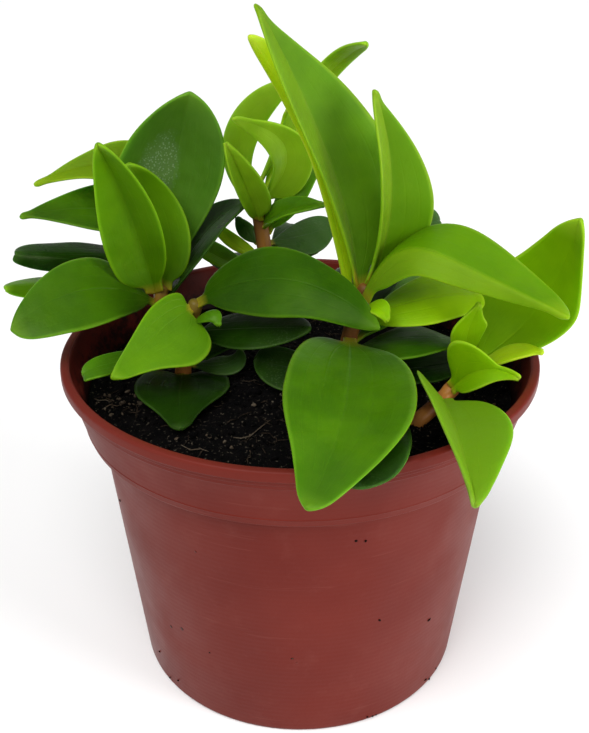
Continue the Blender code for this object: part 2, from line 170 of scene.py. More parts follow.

# Leaf skins. The half that is paler is 1 for the right, -1 for the left and 0 for neither. The frost and
# sheen value is how strong the pale dots are: partly frosty texture and partly painted sheen. They lie in a
# spot, a painted sheen patch given as shares along and across the blade, or else in patches
Skin = namedtuple("Skin", "deep light edge under gloss pale_half frost shine spot",
                  defaults=(0, 0.015, LEAF_SHINE, None))
SKINS = {
    "leaf_dark": Skin((0.005, 0.021, 0.001), (0.014, 0.046, 0.002), (0.05, 0.11, 0.02),
                      (0.02, 0.06, 0.004), gloss=0.26, frost=0.06, shine=0.07),
    "leaf_green": Skin((0.035, 0.112, 0.001), (0.065, 0.178, 0.001), (0.15, 0.30, 0.012),
                       (0.08, 0.2, 0.002), gloss=0.32),
    "old_green": Skin((0.025, 0.08, 0.001), (0.047, 0.128, 0.001), (0.15, 0.30, 0.012),
                      (0.06, 0.15, 0.002), gloss=0.32, shine=0.14),
    "leaf_bright": Skin((0.065, 0.172, 0.001), (0.098, 0.235, 0.001), (0.22, 0.40, 0.012),
                        (0.13, 0.27, 0.002), gloss=0.36),
    "fresh": Skin((0.155, 0.30, 0.004), (0.235, 0.41, 0.012), (0.30, 0.48, 0.03),
                  (0.17, 0.34, 0.006), gloss=0.4),
    "fresh_ridge": Skin((0.075, 0.19, 0.001), (0.10, 0.23, 0.001), (0.25, 0.37, 0.01),
                        (0.15, 0.31, 0.004), gloss=0.4, pale_half=1, shine=0.1),
    "fresh_edge": Skin((0.078, 0.19, 0.001), (0.10, 0.225, 0.001), (0.26, 0.38, 0.02),
                       (0.15, 0.31, 0.004), gloss=0.4, pale_half=-1),
    "folded_edge": Skin((0.04, 0.105, 0.002), (0.062, 0.138, 0.004), (0.26, 0.40, 0.04),
                        (0.13, 0.27, 0.004), gloss=0.34, pale_half=-1),
    "leaf_lime": Skin((0.125, 0.275, 0.001), (0.175, 0.34, 0.001), (0.36, 0.52, 0.03),
                      (0.16, 0.31, 0.003), gloss=0.4, shine=0.06),
    "dull_lime": Skin((0.105, 0.20, 0.001), (0.15, 0.25, 0.001), (0.30, 0.42, 0.02),
                      (0.16, 0.29, 0.003), gloss=0.4, shine=0.1),
    # Lighter than the leaf's own lime: painted light for the light shining through the leaf that arches over
    # it
    "lime_painted_backlight": Skin((0.18, 0.35, 0.001), (0.26, 0.46, 0.002), (0.40, 0.60, 0.03),
                     (0.18, 0.38, 0.003), gloss=0.4, shine=0.08),
    # Its spot of pale dots is a painted sheen patch
    "broad_back": Skin((0.045, 0.13, 0.005), (0.08, 0.19, 0.016), (0.15, 0.32, 0.02),
                       (0.08, 0.2, 0.01), gloss=0.31, frost=0.7, spot=(0.63, 0.36)),
    "mid_dark": Skin((0.016, 0.06, 0.001), (0.033, 0.1, 0.001), (0.12, 0.25, 0.012),
                     (0.06, 0.16, 0.002), gloss=0.3, shine=0.08),
    "tall": Skin((0.065, 0.165, 0.003), (0.105, 0.245, 0.005), (0.20, 0.32, 0.01),
                 (0.19, 0.34, 0.004), gloss=0.38, pale_half=-1),
    "yellow": Skin((0.26, 0.42, 0.001), (0.36, 0.5, 0.003), (0.5, 0.6, 0.06),
                   (0.32, 0.44, 0.01), gloss=0.4),
    "slate": Skin((0.022, 0.07, 0.007), (0.052, 0.115, 0.026), (0.09, 0.15, 0.05),
                  (0.05, 0.10, 0.03), gloss=0.26, frost=0.2, shine=0.14),
}
# Leaves whose skin isn't the one that their row in LEAVES names
LOOKS = {
    "left_back_broad": "broad_back", "tall": "tall", "rear_near": "slate", "rear_right": "slate",
    "rear_left": "slate", "low_narrow": "slate", "right_rear": "slate", "right_yellow": "yellow",
    "tall_pair": "yellow", "back_lime": "yellow", "back_pale": "yellow", "right_lime": "lime_painted_backlight",
    "back_olive": "leaf_bright", "right_arch": "fresh_ridge", "right_tall": "fresh_edge",
    "back_arch": "fresh", "back_curl": "fresh", "back_folded": "fresh", "rear_thin": "fresh",
    "front_right": "folded_edge", "far_left_upper": "old_green", "left_wide": "old_green",
    "far_left_top": "dull_lime", "centre_long": "mid_dark", "right_dark": "mid_dark",
}

# A leaf's half width grows as distance ** rise from the stalk and falls as distance ** fall from the tip
Outline = namedtuple("Outline", "rise fall")
HEART = Outline(0.35, 0.8)
BROAD = Outline(0.55, 0.75)
OVAL = Outline(0.6, 0.6)
BLUNT = Outline(0.6, 0.5)
LATE = Outline(0.9, 0.62)
TAPER = Outline(0.5, 1.15)
LANCE = Outline(0.7, 1.0)
FULL = Outline(0.4, 0.6)
FOLDED = Outline(0.45, 0.9)
POINTED = Outline(0.75, 0.95)
# How a leaf is folded and wavy. Gutter is 1 for a sharp fold and 2 for a round trough, and wave is how far
# the margins stray. Pinch draws in the margins before the tip, and the lobes reach back past the stalk as a
# share of the leaf's length. Base is the least half width near the stalk. A side that doesn't follow the
# leaf's outline has a curve of its own. Sway lifts the first half of the midrib and sinks the second half.
# Wave, base and sway are in millimetres
Manner = namedtuple("Manner", "gutter wave pinch left_lobe right_lobe base left_curve right_curve sway",
                    defaults=(1.3, 0.5, 0.06, 0.0, 0.0, 0.75, None, None, 0.0))
MANNERS = {
    "left_tall": Manner(gutter=1.1, base=2.4, pinch=0.05, left_lobe=0.05, left_curve=Outline(0.2, 0.7)),
    "left_tall_pair": Manner(gutter=1.2, base=2.2),
    "left_back_broad": Manner(gutter=1.15, pinch=0.02, base=1.4, left_curve=Outline(0.8, 0.7)),
    "left_wide": Manner(gutter=1.25, pinch=0.08, base=1.3, left_curve=Outline(0.55, 0.6),
                        right_curve=Outline(0.6, 0.8)),
    "far_left_top": Manner(right_curve=Outline(0.3, 1.15)),
    "low_small": Manner(gutter=1.6, wave=0.3),
    "far_left_lower": Manner(gutter=1.2, wave=1.2),
    "front_lime": Manner(gutter=1.2, pinch=0.26, left_lobe=0.06, right_lobe=0.04, base=1.2),
    "low_heart": Manner(gutter=1.15, pinch=0.34, left_lobe=0.34, right_lobe=0.34, wave=0.9),
    "heart": Manner(pinch=0.2, left_lobe=0.03, right_lobe=0.14, base=1.3),
    "front_right": Manner(gutter=1.02, pinch=0.16, right_lobe=0.04, base=2.2, left_curve=Outline(0.4, 1.4)),
    "right_arch": Manner(gutter=1.02, base=2.2, wave=0.3, sway=1.9, left_curve=Outline(0.7, 0.75),
                         right_curve=Outline(0.35, 1.05)),
    "right_lime": Manner(gutter=1.2, base=1.4, left_curve=Outline(0.5, 0.4), right_curve=Outline(0.5, 0.55)),
    "right_tall": Manner(gutter=1.1, base=2.2, wave=0.8, right_curve=Outline(0.6, 1.25)),
    "tall": Manner(gutter=1.12, base=2.4, wave=0.6, pinch=0.0, right_curve=Outline(0.75, 1.35)),
    "tall_pair": Manner(gutter=1.1, base=1.2, left_curve=Outline(2.2, 0.7)),
    "right_broad": Manner(gutter=1.2, pinch=0.18, base=1.3, wave=0.9),
    "right_small_up": Manner(gutter=1.1, pinch=0.24, left_lobe=0.2, base=1.3, wave=0.6),
    "right_small_low": Manner(gutter=1.05, pinch=0.1, base=1.6, left_curve=Outline(1.3, 4.5)),
    "back_folded": Manner(gutter=1.05, base=1.3, wave=0.8, left_lobe=0.2),
    "back_right": Manner(gutter=1.1, base=1.6, left_lobe=0.1),
    "back_curl": Manner(gutter=1.2, base=1.2, wave=0.8, right_curve=Outline(0.35, 1.3)),
    "centre_long": Manner(base=1.4, pinch=0.1, wave=0.8),
    "rear_thin": Manner(left_curve=Outline(0.7, 0.6), right_curve=Outline(0.7, 0.6)),
    "right_dark": Manner(wave=0.9),
}

# Each stem: the axis at the soil, part of the way up and at the top
STEMS = {
    "back_left": ((-28, 21.5, 60), (-28, 23.5, 78), (-27, 24, 94)),
    "left": ((-28, 11, 60), (-28, 11, 68), (-27.3, 12, 73.5)),
    "front_left": ((-22.5, -2, 60), (-21.5, -1, 68), (-19.5, 0, 75.5)),
    "back": ((-6.5, 19, 60), (-6.8, 19, 75), (-9, 21, 90)),
    "middle": ((8.5, -5, 60), (9, -5, 70), (12, -3, 80)),
    "right": ((21, -17, 60), (26, -13, 62.5), (32, -8, 67)),
}

# Each leaf: its stem, the height where it leaves it, outline, slot, then four places on the leaf: the
# middle of the midrib, the tip, and the left and right margins where it is widest. The slot also names the
# leaf's skin, unless LOOKS has another
DARK, GREEN, BRIGHT, LIME = "leaf_dark", "leaf_green", "leaf_bright", "leaf_lime"
Leaf = namedtuple("Leaf", "stem height outline slot middle tip left right")
LEAVES = {
    "left_wide": Leaf("left", 70.5, OVAL, GREEN,
        (-40, 0, 78), (-52, -10, 74.5), (-37.9, -9, 74.2), (-42.5, 7, 82)),
    "left_tall": Leaf("left", 72.3, FULL, BRIGHT,
        (-32, 9, 90), (-35.8, 2, 105.4), (-37.8, 4, 88.2), (-26.2, 5, 90.6)),
    "left_tall_pair": Leaf("left", 73.5, FULL, BRIGHT,
        (-28, 15, 87), (-32.5, 13, 98.5), (-32, 13, 88), (-21.3, 13, 85)),
    "left_back_broad": Leaf("left", 71.6, LATE, GREEN,
        (-25.5, 20, 91), (-20.5, 17, 111), (-35.6, 15.5, 97), (-14.5, 17, 95.5)),
    "left_narrow": Leaf("left", 70.4, BROAD, DARK,
        (-19.5, 17, 81.5), (-11, 20, 88.5), (-23, 24, 83), (-17, 10, 83.5)),
    "far_left_top": Leaf("back_left", 92, TAPER, LIME,
        (-38.5, 24, 95), (-52.5, 20, 92), (-36, 18, 93.5), (-35, 27, 99.3)),
    "far_left_upper": Leaf("back_left", 84, TAPER, GREEN,
        (-41, 20, 87), (-54.5, 14, 87.5), (-37.5, 15, 84), (-38, 26, 90.5)),
    "far_left_lower": Leaf("back_left", 76, BLUNT, DARK,
        (-42.5, 14, 79.5), (-54, 6, 83), (-47, 10, 78), (-47, 18, 80.5)),
    "far_left_low": Leaf("back_left", 70, BROAD, BRIGHT,
        (-46, 10, 75), (-55.5, 2, 77.5), (-46, 7, 73), (-49.5, 14, 75)),
    "front_lime": Leaf("front_left", 74.5, HEART, BRIGHT,
        (-27, -9, 72.5), (-33, -18, 69), (-17.5, -12, 69.5), (-26, -3, 77.5)),
    "centre_long": Leaf("front_left", 75.5, BROAD, GREEN,
        (-2, -6, 82.5), (14, -14.5, 77), (-7, 4.5, 85), (-4.5, -11, 77.5)),
    "centre_low": Leaf("front_left", 70, BROAD, DARK,
        (-8.5, -3, 71.5), (2, -8, 74), (-7.5, 4, 72.5), (-9, -8, 69.5)),
    "centre_bud": Leaf("front_left", 71.5, BROAD, GREEN,
        (-16.5, -5, 75.6), (-14.8, -7.3, 74.2), (-15.2, -4.2, 76), (-17.6, -6.4, 74.6)),
    "low_small": Leaf("front_left", 66, BROAD, GREEN,
        (-34.5, -13, 69), (-38, -16, 68.5), (-34, -16, 68.5), (-34.5, -10, 70)),
    "low_heart": Leaf("front_left", 61.8, HEART, DARK,
        (-22, -13, 62), (-20.7, -22.3, 61.3), (-13, -8, 61.5), (-30.5, -12, 63)),
    "low_round": Leaf("front_left", 66.5, BROAD, DARK,
        (-18, 2, 66), (-11.5, 2, 66.5), (-18, 6, 68), (-17.5, -3, 65)),
    "low_narrow": Leaf("front_left", 63.5, LANCE, DARK,
        (-14, -1, 63), (-11.5, 1, 65.5), (-15.5, 1.5, 63.5), (-12, -3.5, 62.5)),
    "low_dark": Leaf("middle", 64, BROAD, DARK,
        (-2.5, -4, 64), (-8.5, -2.5, 65), (-2.5, -10, 62), (-4, 1, 66)),
    "back_arch": Leaf("back", 88, BLUNT, BRIGHT,
        (-11.5, 24, 101), (-2, 16, 113.5), (-15.5, 26, 100), (-7.5, 22, 102)),
    "back_curl": Leaf("back", 88.5, BROAD, BRIGHT,
        (-3, 17, 100.5), (-12.5, 11, 107.5), (-5.5, 14, 99), (3, 18, 100)),
    "back_folded": Leaf("back", 85, HEART, GREEN,
        (-11, 15.5, 94.5), (-14, 13, 102.5), (-12.5, 13.5, 93.5), (-6, 15, 92.5)),
    "back_right": Leaf("back", 83.5, HEART, GREEN,
        (-2, 12.5, 89.4), (4.5, 8, 92), (-4, 16.5, 90.4), (-4, 9.5, 88.7)),
    "back_dark": Leaf("back", 82, BROAD, GREEN,
        (-1, 23, 91), (4.5, 25, 96), (-2.5, 25, 92.5), (1, 21, 88.5)),
    "back_lime": Leaf("back", 89, BROAD, LIME,
        (-2, 27, 99), (-2.5, 27, 105.5), (-4.5, 28, 100.5), (0.5, 27, 99)),
    "back_pale": Leaf("back", 77, BLUNT, LIME,
        (-12.5, 22, 78.5), (-17, 23, 82.5), (-16, 22, 79.5), (-12, 23, 80)),
    "back_olive": Leaf("back", 73, BROAD, GREEN,
        (-17, 23, 75.5), (-22.5, 24, 79), (-18, 21, 75), (-17.5, 26, 78)),
    "rear_near": Leaf("back", 76.5, BROAD, DARK,
        (-3.5, 27, 79), (-1.5, 33, 79), (-4.5, 33, 80), (-2.5, 24, 77)),
    "rear_right": Leaf("back", 80, BROAD, DARK,
        (1, 27, 79), (7, 33, 79), (2, 33, 81), (3, 24, 76)),
    "rear_left": Leaf("back", 80, BROAD, DARK,
        (-11, 22, 82), (-12.8, 24, 84), (-12.5, 22, 81), (-9.5, 22, 83)),
    "rear_thin": Leaf("back", 90, LANCE, BRIGHT,
        (2.6, 26, 109.3), (12, 16, 120), (2.1, 24, 113), (5, 26, 109)),
    "hind_low": Leaf("back", 68.5, BROAD, DARK,
        (-13, 29, 72), (-19, 37, 70), (-18, 27, 72), (-8, 33, 72)),
    "hind_hanging": Leaf("back", 74, BROAD, GREEN,
        (-3, 31, 75), (-1, 40, 69), (-9, 33, 74), (4, 31, 74)),
    "hind_middle": Leaf("middle", 72.5, BROAD, DARK,
        (13, 11, 76), (14, 24, 73), (6, 13, 76), (20, 13, 76)),
    "hind_right": Leaf("middle", 69.5, OVAL, GREEN,
        (24, 14, 71.5), (31, 27, 69), (20, 20, 73), (30, 12, 73)),
    "hind_side": Leaf("right", 64.6, LATE, GREEN,
        (38, 3, 69.3), (37, 19, 70), (33, 9, 70.3), (43, 6, 70.8)),
    "hind_left": Leaf("back_left", 70, BROAD, GREEN,
        (-29, 33, 74), (-26, 41, 70), (-34, 34, 73), (-23, 33, 74)),
    "tall": Leaf("middle", 79, LANCE, BRIGHT,
        (5, -2, 102.5), (-7, -12, 131), (0.5, -9, 110), (15.5, 2, 105.5)),
    "tall_pair": Leaf("middle", 76, BROAD, LIME,
        (2, 4, 103.5), (-8.5, -2, 124.5), (1, 3.2, 102.6), (6, 6, 106.5)),
    "right_tall": Leaf("middle", 80, POINTED, BRIGHT,
        (15.5, -4, 97.5), (12, -8, 117), (13.5, -9, 103), (23.8, -3, 98.6)),
    "right_arch": Leaf("middle", 77.7, LANCE, BRIGHT,
        (23.5, -11.2, 89.8), (43.5, -26, 84.5), (29.5, -4.5, 92.6), (22.6, -14.5, 86)),
    "right_lime": Leaf("middle", 74.5, BROAD, LIME,
        (23.5, -6, 79), (33.6, -2, 77.6), (24.4, 3, 80.7), (24, -11, 76.5)),
    "right_bud": Leaf("middle", 75, BROAD, LIME,
        (13.4, -10.5, 79.4), (15.3, -12.5, 77.5), (14.6, -8.8, 80.2), (12, -12, 79)),
    "right_rear": Leaf("middle", 77.5, BROAD, DARK,
        (21, 8, 85), (27, 14, 86.5), (21.5, 14, 88.5), (23.5, 6, 85)),
    "right_broad": Leaf("right", 67, BROAD, LIME,
        (44.5, -2, 75.5), (48, -9, 95.5), (34.3, 3.5, 80), (50, -9, 77)),
    "right_small_up": Leaf("right", 66.7, LANCE, LIME,
        (29.7, -10.5, 74), (31.3, -12.5, 81.2), (26.7, -12.5, 76), (33.5, -10.5, 76)),
    "right_small_low": Leaf("right", 63.5, HEART, LIME,
        (33, -15, 69.5), (38.7, -17, 68.6), (28.3, -14.3, 75.5), (31, -18, 67)),
    "right_yellow": Leaf("right", 65.4, LANCE, LIME,
        (37.5, -14, 71.8), (42.5, -15.5, 73.3), (37.5, -11, 72.3), (37, -15.5, 71.3)),
    "right_dark": Leaf("middle", 68.5, BROAD, GREEN,
        (20.5, -6, 71), (30.5, -3, 68.5), (22, 2, 70), (19, -12, 70)),
    "right_dark_low": Leaf("middle", 63.5, BROAD, DARK,
        (24.5, -3, 63.5), (32, 1, 63.5), (25, 2, 64.5), (24, -8, 63)),
    "heart": Leaf("middle", 71, HEART, GREEN,
        (6.5, -37, 71), (1, -56, 68), (19, -33, 73), (-2.7, -29, 74.5)),
    "heart_under": Leaf("middle", 67, BROAD, DARK,
        (12, -35.5, 69), (7.5, -50, 68), (18, -37, 68.5), (7.5, -36, 68.3)),
    "front_right": Leaf("right", 62.1, FOLDED, BRIGHT,
        (25.2, -37.2, 68), (26, -52, 65.6), (20.1, -24.5, 72.7), (34, -35.2, 70.5)),
}


def mm(*values):
    """A place in metres from millimetres."""
    return Vector(values) * 0.001


def smooth(low, high, value):
    """0 below low, 1 above high and an easy climb between them."""
    share = min(max((value - low) / (high - low), 0.0), 1.0)
    return share * share * (3 - 2 * share)


# Making pieces

def put_in_scene(name, data):
    thing = bpy.data.objects.new(name, data)
    bpy.context.scene.collection.objects.link(thing)
    return thing


def new_piece(name, mesh, node=None, slot=None):
    """A finished piece, riding on the one body and standing for its CAD node where it has one."""
    piece = put_in_scene(name, mesh)
    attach(piece, "root")
    if node:
        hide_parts(node)
    return piece


def soften(piece):
    """Rounds a piece off with one step of subdivision."""
    soft = piece.modifiers.new("Soft", "SUBSURF")
    soft.levels = soft.render_levels = 1


def worked_mesh(thing, name):
    """A copy of a thing's mesh with its modifiers applied."""
    bpy.context.view_layer.update()
    view = bpy.context.evaluated_depsgraph_get()
    mesh = bpy.data.meshes.new_from_object(thing.evaluated_get(view))
    mesh.name = name
    return mesh


def to_mesh(shape, name):
    mesh = bpy.data.meshes.new(name)
    shape.to_mesh(mesh)
    shape.free()
    mesh.shade_smooth()
    return mesh


def turned(profile, steps):
    """A closed turned shape from radius and height points, in millimetres."""
    shape = bmesh.new()
    points = [shape.verts.new(mm(radius, 0, height)) for radius, height in profile]
    edges = [shape.edges.new(pair) for pair in zip(points, points[1:])]
    bmesh.ops.spin(shape, geom=points + edges, cent=(0, 0, 0), axis=(0, 0, 1), angle=2 * pi,
                   steps=steps, use_merge=True)
    bmesh.ops.remove_doubles(shape, verts=shape.verts, dist=0.000001)
    bmesh.ops.recalc_face_normals(shape, faces=shape.faces)
    return shape


def tube(shape, path, radii, sides):
    """Adds a closed tube along a path to a shape. Path and radii are in millimetres."""
    ahead = Vector(path[1]) - Vector(path[0])
    across = ahead.orthogonal().normalized()
    rings = []
    for i, place in enumerate(path):
        before = Vector(path[max(i - 1, 0)])
        after = Vector(path[min(i + 1, len(path) - 1)])
        across = ahead.rotation_difference(after - before) @ across
        ahead = after - before
        along = ahead.normalized()
        across = (across - along * across.dot(along)).normalized()
        seat = Matrix((across, along.cross(across), along)).transposed().to_4x4()
        seat.translation = Vector(place) * 0.001
        ring = bmesh.ops.create_circle(shape, segments=sides, radius=radii[i] * 0.001, matrix=seat)["verts"]
        rings.append(list(dict.fromkeys(edge for vertex in ring for edge in vertex.link_edges)))
    for low, high in zip(rings, rings[1:]):
        bmesh.ops.bridge_loops(shape, edges=low + high)
    bmesh.ops.edgeloop_fill(shape, edges=rings[0])
    bmesh.ops.edgeloop_fill(shape, edges=rings[-1])


# Materials

class Finish:
    """A material with its shader, and short ways to add nodes to it."""

    def __init__(self, name, roughness=0.5, specular=0.5):
        self.material = bpy.data.materials.new(name)
        self.material.use_nodes = True
        self.nodes = self.material.node_tree.nodes
        self.shader = self.nodes["Principled BSDF"]
        self.set(self.shader, "Roughness", roughness)
        self.set(self.shader, "Specular IOR Level", specular)

    def set(self, node, socket, value):
        """Puts a value or another node's output on a socket."""
        target = node.inputs[socket]
        if isinstance(value, bpy.types.NodeSocket):
            self.material.node_tree.links.new(value, target)
        elif isinstance(value, tuple) and len(value) == 3 and len(target.default_value) == 4:
            target.default_value = (*value, 1.0)
        else:
            target.default_value = value

    def add(self, kind, sockets=(), **settings):
        node = self.nodes.new(kind)
        for name, value in settings.items():
            setattr(node, name, value)
        for socket, value in dict(sockets).items():
            self.set(node, socket, value)
        return node

    def place(self):
        return self.add("ShaderNodeTexCoord").outputs["Object"]

    def math(self, operation, *values):
        return self.add("ShaderNodeMath", dict(enumerate(values)), operation=operation).outputs[0]

    def times(self, first, second):
        return self.math("MULTIPLY", first, second)

    def ramp(self, value, *stops):
        """Passes a value through straight lines between (place, height) stops."""
        node = self.add("ShaderNodeValToRGB", {0: value})
        band = node.color_ramp
        while len(band.elements) < len(stops):
            band.elements.new(1.0)
        for element, (place, height) in zip(band.elements, stops):
            element.position = place
            element.color = (height, height, height, 1.0)
        return node.outputs[0]

    def blotches(self, scale, detail=3.0, where=None, stretch=None, rough=0.5):
        """Soft cloudy noise. Scale is in features to the metre."""
        where = where or self.place()
        if stretch:
            where = self.add("ShaderNodeMapping", {"Vector": where, "Scale": stretch}).outputs[0]
        return self.add("ShaderNodeTexNoise", {"Vector": where, "Scale": scale, "Detail": detail,
                                               "Roughness": rough}).outputs["Fac"]

    def specks(self, scale):
        """Distance from the nearest of many scattered points. Scale is in points to the metre."""
        return self.add("ShaderNodeTexVoronoi", {"Vector": self.place(), "Scale": scale}).outputs["Distance"]

    def mix(self, share, first, second, kind="MIX"):
        return self.add("ShaderNodeMix", {0: share, 6: first, 7: second}, data_type="RGBA",
                        blend_type=kind).outputs[2]

    def colour(self, value):
        self.set(self.shader, "Base Color", value)

    def bump(self, height, depth, strength=1.0, onto=None):
        """Bump of a depth in metres, over an earlier bump where one is given."""
        node = self.add("ShaderNodeBump", {"Height": height, "Distance": depth, "Strength": strength})
        if onto:
            self.set(node, "Normal", onto)
        self.set(self.shader, "Normal", node.outputs[0])
        return node.outputs[0]


def leaf_finish(name, colours):
    """Fleshy leaf skin: clouded green, fine midrib and side veins, pale margin, painted shade towards the
    stalk, and pale dots that are partly frosty texture and partly painted sheen.
    """
    deep, light, edge, under, gloss, pale_half, frost, shine, spot = colours
    skin = Finish(name, specular=shine)
    skin.set(skin.shader, "Specular Tint", LEAF_SHEEN)
    blade = skin.add("ShaderNodeUVMap", uv_map="blade").outputs[0]
    parts = skin.add("ShaderNodeSeparateXYZ", {0: blade})
    along, across = parts.outputs[0], parts.outputs[1]
    side = skin.math("ABSOLUTE", skin.math("MULTIPLY_ADD", across, 2.0, -1.0))
    clouds = skin.ramp(skin.blotches(130, 4), (0.35, 0.0), (0.68, 1.0))
    streaks = skin.ramp(skin.blotches(5.0, 2, blade, (2.0, 22.0, 1.0)), (0.4, 0.0), (0.65, 1.0))
    body = skin.mix(skin.times(clouds, 0.7), deep, light)
    body = skin.mix(skin.times(streaks, 0.25), body, light)
    rib = skin.ramp(side, (0.0, 1.0), (0.035, 0.0))
    veins = skin.ramp(side, (0.0, 0.0), (0.36, 0.0), (0.39, 1.0), (0.42, 0.0), (0.68, 0.0), (0.7, 0.8),
                      (0.72, 0.0))
    fade = skin.ramp(along, (0.0, 1.0), (0.85, 0.2), (1.0, 0.0))
    lines = skin.times(skin.math("MULTIPLY_ADD", veins, 0.35, rib), fade)
    body = skin.mix(skin.times(lines, 0.45), body, light)
    if pale_half:
        left_share, right_share = (0.0, 1.0) if pale_half > 0 else (1.0, 0.0)
        half = skin.ramp(across, (0.47, left_share), (0.53, right_share))
        body = skin.mix(skin.times(half, 0.3), body, edge)
    rim = skin.ramp(side, (0.9, 0.0), (0.985, 1.0))
    body = skin.mix(skin.times(rim, 0.35), body, edge)
    tip = skin.ramp(along, (0.9, 0.0), (0.99, 1.0))
    body = skin.mix(skin.times(tip, 0.4), body, edge)
    # Painted shade: the colour darkens towards the stalk, where the leaves shade each other
    painted_base_shade = skin.ramp(along, (0.12, 0.3), (0.5, 0.0))
    body = skin.mix(painted_base_shade, body, deep, "MULTIPLY")
    # Pale dots: partly the skin's frosty texture and partly painted sheen; a spot is a painted sheen patch
    if spot:
        away = skin.add("ShaderNodeVectorMath", {0: blade, 1: (*spot, 0.0)}, operation="DISTANCE")
        ragged = skin.math("MULTIPLY_ADD", skin.blotches(260, 4), 0.2, away.outputs["Value"])
        patches = skin.ramp(ragged, (0.2, 1.0), (0.3, 0.0))
    else:
        patches = skin.ramp(skin.blotches(75, 2), (0.5, 0.0), (0.64, 1.0))
    dots = skin.ramp(skin.specks(2100), (0.22, 1.0), (0.4, 0.0))
    frost_and_sheen_haze = skin.times(patches, skin.math("MULTIPLY_ADD", dots, 0.75, 0.25))
    body = skin.mix(skin.times(frost_and_sheen_haze, frost), body, FROST_AND_SHEEN)
    stalk = skin.ramp(along, (0.0, 1.0), (0.07, 0.0))
    body = skin.mix(stalk, body, STALK)
    below = skin.add("ShaderNodeAttribute", attribute_name="underside").outputs["Fac"]
    skin.colour(skin.mix(skin.times(below, 0.85), body, under))
    pores = skin.blotches(2600, 2)
    dents = skin.blotches(240, 3)
    raised = skin.bump(skin.times(lines, -1.0), 0.00025, 0.5)
    raised = skin.bump(dents, 0.0007, 0.35, raised)
    raised = skin.bump(skin.times(dots, patches), 0.00012, 0.6 * frost, raised)
    skin.bump(pores, 0.00008, 0.25, raised)
    satin = skin.ramp(skin.blotches(300, 3), (0.3, gloss), (0.7, gloss + 0.14))
    skin.set(skin.shader, "Roughness", skin.mix(below, satin, (gloss + 0.2,) * 3))
    skin.set(skin.shader, "Subsurface Weight", 0.4)
    skin.set(skin.shader, "Subsurface Radius", (0.5, 1.0, 0.1))
    skin.set(skin.shader, "Subsurface Scale", 0.0025)
    return skin.material


def pot_finish():
    """Satin moulded plastic: faint turning lines, scratches, dark flecks, and peat smeared on the inside."""
    wall = Finish("pot_plastic", specular=0.1)
    x, y, height = wall.add("ShaderNodeSeparateXYZ", {0: wall.place()}).outputs
    clouds = wall.ramp(wall.blotches(55, 4), (0.3, 0.0), (0.7, 1.0))
    body = wall.mix(clouds, POT_RED, POT_WARM)
    dust = wall.ramp(wall.blotches(160, 6, rough=0.7), (0.52, 0.0), (0.75, 1.0))
    body = wall.mix(wall.times(dust, 0.08), body, POT_DUSTY)
    scratch = wall.blotches(18, 2, stretch=(2.0, 2.0, 40.0))
    marks = wall.ramp(scratch, (0.68, 0.0), (0.7, 1.0), (0.72, 0.0))
    body = wall.mix(wall.times(marks, 0.1), body, POT_DUSTY)
    flecks = wall.ramp(wall.specks(170), (0.045, 1.0), (0.075, 0.0))
    sparse = wall.ramp(wall.blotches(60, 2), (0.58, 0.0), (0.62, 1.0))
    flecks = wall.times(flecks, sparse)
    body = wall.mix(wall.times(flecks, 0.85), body, FLECK)
    distance = wall.math("SQRT", wall.math("MULTIPLY_ADD", x, x, wall.times(y, y)))
    flare = (RIM_RADIUS - BAND_FOOT_RADIUS - LIP_OVERHANG) / (BAND_HEIGHT - LIP_HEIGHT)
    wall_start = BAND_FOOT_RADIUS - WALL / 2 - flare * (RIM_TOP - BAND_HEIGHT)
    mid_wall = wall.math("MULTIPLY_ADD", height, flare, wall_start * 0.001)
    inside = wall.times(wall.math("LESS_THAN", distance, mid_wall),
                       wall.math("GREATER_THAN", height, (RIM_TOP - BAND_HEIGHT + WALL) * 0.001))
    low = wall.add("ShaderNodeMapRange", {"Value": height, "From Min": RIM_TOP * 0.001,
                                          "From Max": SOIL_EDGE_TOP * 0.001}).outputs[0]
    patchy = wall.math("MULTIPLY_ADD", low, 0.42, wall.blotches(330, 7, rough=0.75))
    smears = wall.times(wall.ramp(patchy, (0.66, 0.0), (0.86, 1.0)), inside)
    wall.colour(wall.mix(wall.times(smears, 0.9), body, PEAT_BROWN))
    rings = wall.math("SINE", wall.times(height, 2 * pi / 0.0011))
    lined = wall.bump(rings, 0.00001, 0.35)
    grained = wall.bump(wall.blotches(1500, 3), 0.00006, 0.25, lined)
    wall.bump(flecks, 0.0003, 0.8, grained)
    shine = wall.ramp(wall.blotches(90, 4), (0.3, 0.36), (0.7, 0.52))
    wall.set(wall.shader, "Roughness", shine)
    return wall.material


def peat_finish(name, dark, light, share):
    """Damp crumbly peat or bark: clods from dark to light, with pale grit."""
    earth = Finish(name, specular=0.06)
    clods = earth.ramp(earth.blotches(420, 8, rough=0.7), (0.42, 0.0), (0.75, 1.0))
    grit = earth.ramp(earth.blotches(1700, 3), (0.62, 0.0), (0.72, 1.0))
    body = earth.mix(clods, dark, light)
    earth.colour(earth.mix(earth.times(grit, share), body, PEAT_PALE))
    rough = earth.bump(earth.blotches(900, 6, rough=0.75), 0.0012, 0.9)
    earth.bump(earth.blotches(4000, 3), 0.0003, 0.6, rough)
    damp = earth.ramp(earth.blotches(260, 4), (0.35, 0.55), (0.6, 0.95))
    earth.set(earth.shader, "Roughness", damp)
    return earth.material


